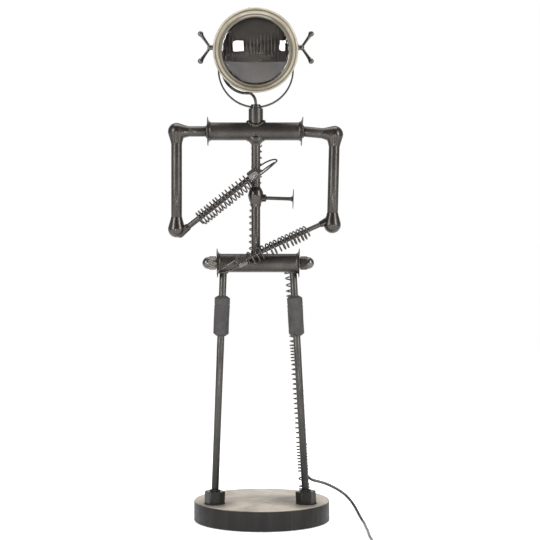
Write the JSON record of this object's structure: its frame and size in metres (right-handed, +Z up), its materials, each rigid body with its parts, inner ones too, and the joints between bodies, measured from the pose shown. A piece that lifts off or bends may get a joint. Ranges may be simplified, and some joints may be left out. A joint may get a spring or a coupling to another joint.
{
  "type": "robot shaped desk lamp",
  "caption": "Desk lamp in the shape of a standing figure welded from rods, tube, nuts and springs, with a round tilting headlamp for its head, on a heavy disc base.",
  "frame": {"origin": "centre of the base's underside, on the surface the lamp stands on", "axes": "+Z up, -Y the way the figure and its headlamp face, +X to the right seen from the front"},
  "size_m": [0.3545, 0.4625, 0.9096],
  "materials": {
    "lacquered_steel": "dark, unevenly heated steel under clear lacquer",
    "cast_joints": "dark cast surface under clear lacquer",
    "spring_wire": "dark oiled spring wire",
    "engine_steel": "dark steel, lacquered",
    "neck_hardware": "dark turned steel",
    "base_iron": "aged, rubbed brighter on top, dark brown on the side",
    "base_board": "painted fibre board",
    "sleeve_rubber": "matte ribless rubber",
    "soft_rubber": "matte black",
    "flex": "glossy black sheath",
    "tie_tape": "matte black",
    "plug_moulding": "fine grained black moulding",
    "plug_pins": "plated",
    "yoke_steel": "dark steel under clear lacquer",
    "bowl_paint": "dark lacquered sheet steel",
    "rim_paint": "aged cream paint, rubbed on the edges",
    "clamp_screws": "dark steel under clear lacquer",
    "lens_glass": "clear, fluted behind",
    "reflector": "silvered, slightly dulled",
    "holder": "dark moulding",
    "bulb_glass": "clear"
  },
  "bodies": {
    "figure": {"arm_stub_left": "lacquered_steel", "arm_stub_right": "lacquered_steel", "base_board": "base_board", "base_disc": "base_iron", "body_lead": "flex", "coil_ties": "tie_tape", "cord_coil": "flex", "elbow_left": "cast_joints", "elbow_right": "cast_joints", "engine_valve": "engine_steel", "foot_nuts": "engine_steel", "forearm_left": "lacquered_steel", "forearm_right": "lacquered_steel", "forearm_spring_left": "spring_wire", "forearm_spring_right": "spring_wire", "hand_loop_left": "spring_wire", "hand_loop_right": "spring_wire", "hand_nut_left": "lacquered_steel", "hand_nut_right": "lacquered_steel", "knee_sleeve_left": "sleeve_rubber", "knee_sleeve_right": "sleeve_rubber", "lead_grommet": "soft_rubber", "lead_spring": "spring_wire", "leg_left": "lacquered_steel", "leg_right": "lacquered_steel", "mains_cord": "flex", "neck_cap": "neck_hardware", "neck_nipple": "neck_hardware", "neck_tube": "lacquered_steel", "neck_washer": "neck_hardware", "plug_body": "plug_moulding", "plug_flex": "flex", "plug_pins": "plug_pins", "shoulder_end_plates": "lacquered_steel", "shoulder_knuckle_left": "cast_joints", "shoulder_knuckle_right": "cast_joints", "shoulder_tube": "lacquered_steel", "spine_knuckle": "cast_joints", "spine_lower": "lacquered_steel", "spine_upper": "lacquered_steel", "upper_arm_left": "lacquered_steel", "upper_arm_right": "lacquered_steel", "waist_cap_nuts": "lacquered_steel", "waist_end_plates": "lacquered_steel", "waist_rod": "lacquered_steel", "waist_tube": "lacquered_steel"},
    "yoke": {"yoke_strap": "yoke_steel"},
    "headlamp": {"lamp_bowl": "bowl_paint", "lamp_rim": "rim_paint", "rim_screw": "clamp_screws", "lens_gasket": "soft_rubber", "lens": "lens_glass", "reflector": "reflector", "bulb_holder": "holder", "bulb": "bulb_glass", "pivot_washers": "neck_hardware", "bowl_grommet": "soft_rubber", "head_lead": "flex"},
    "clamp_left": {"clamp_screw_left": "clamp_screws"},
    "clamp_right": {"clamp_screw_right": "clamp_screws"}
  },
  "joints": [
    {"name": "head_swivel", "type": "hinge", "parent": "figure", "child": "yoke", "pos_m": [-0.0103, -0.045, 0.74], "axis": [0, 0, 1], "range_deg": [-100, 100]},
    {"name": "head_tilt", "type": "hinge", "parent": "yoke", "child": "headlamp", "pos_m": [-0.0103, -0.045, 0.8442], "axis": [1, 0, 0], "range_deg": [-40, 12]},
    {"name": "clamp_turn_left", "type": "hinge", "parent": "headlamp", "child": "clamp_left", "pos_m": [-0.0777, -0.045, 0.8442], "axis": [-1, 0, 0], "range_deg": [0, 180]},
    {"name": "clamp_turn_right", "type": "hinge", "parent": "headlamp", "child": "clamp_right", "pos_m": [0.0571, -0.045, 0.8442], "axis": [1, 0, 0], "range_deg": [0, 180]}
  ]
}
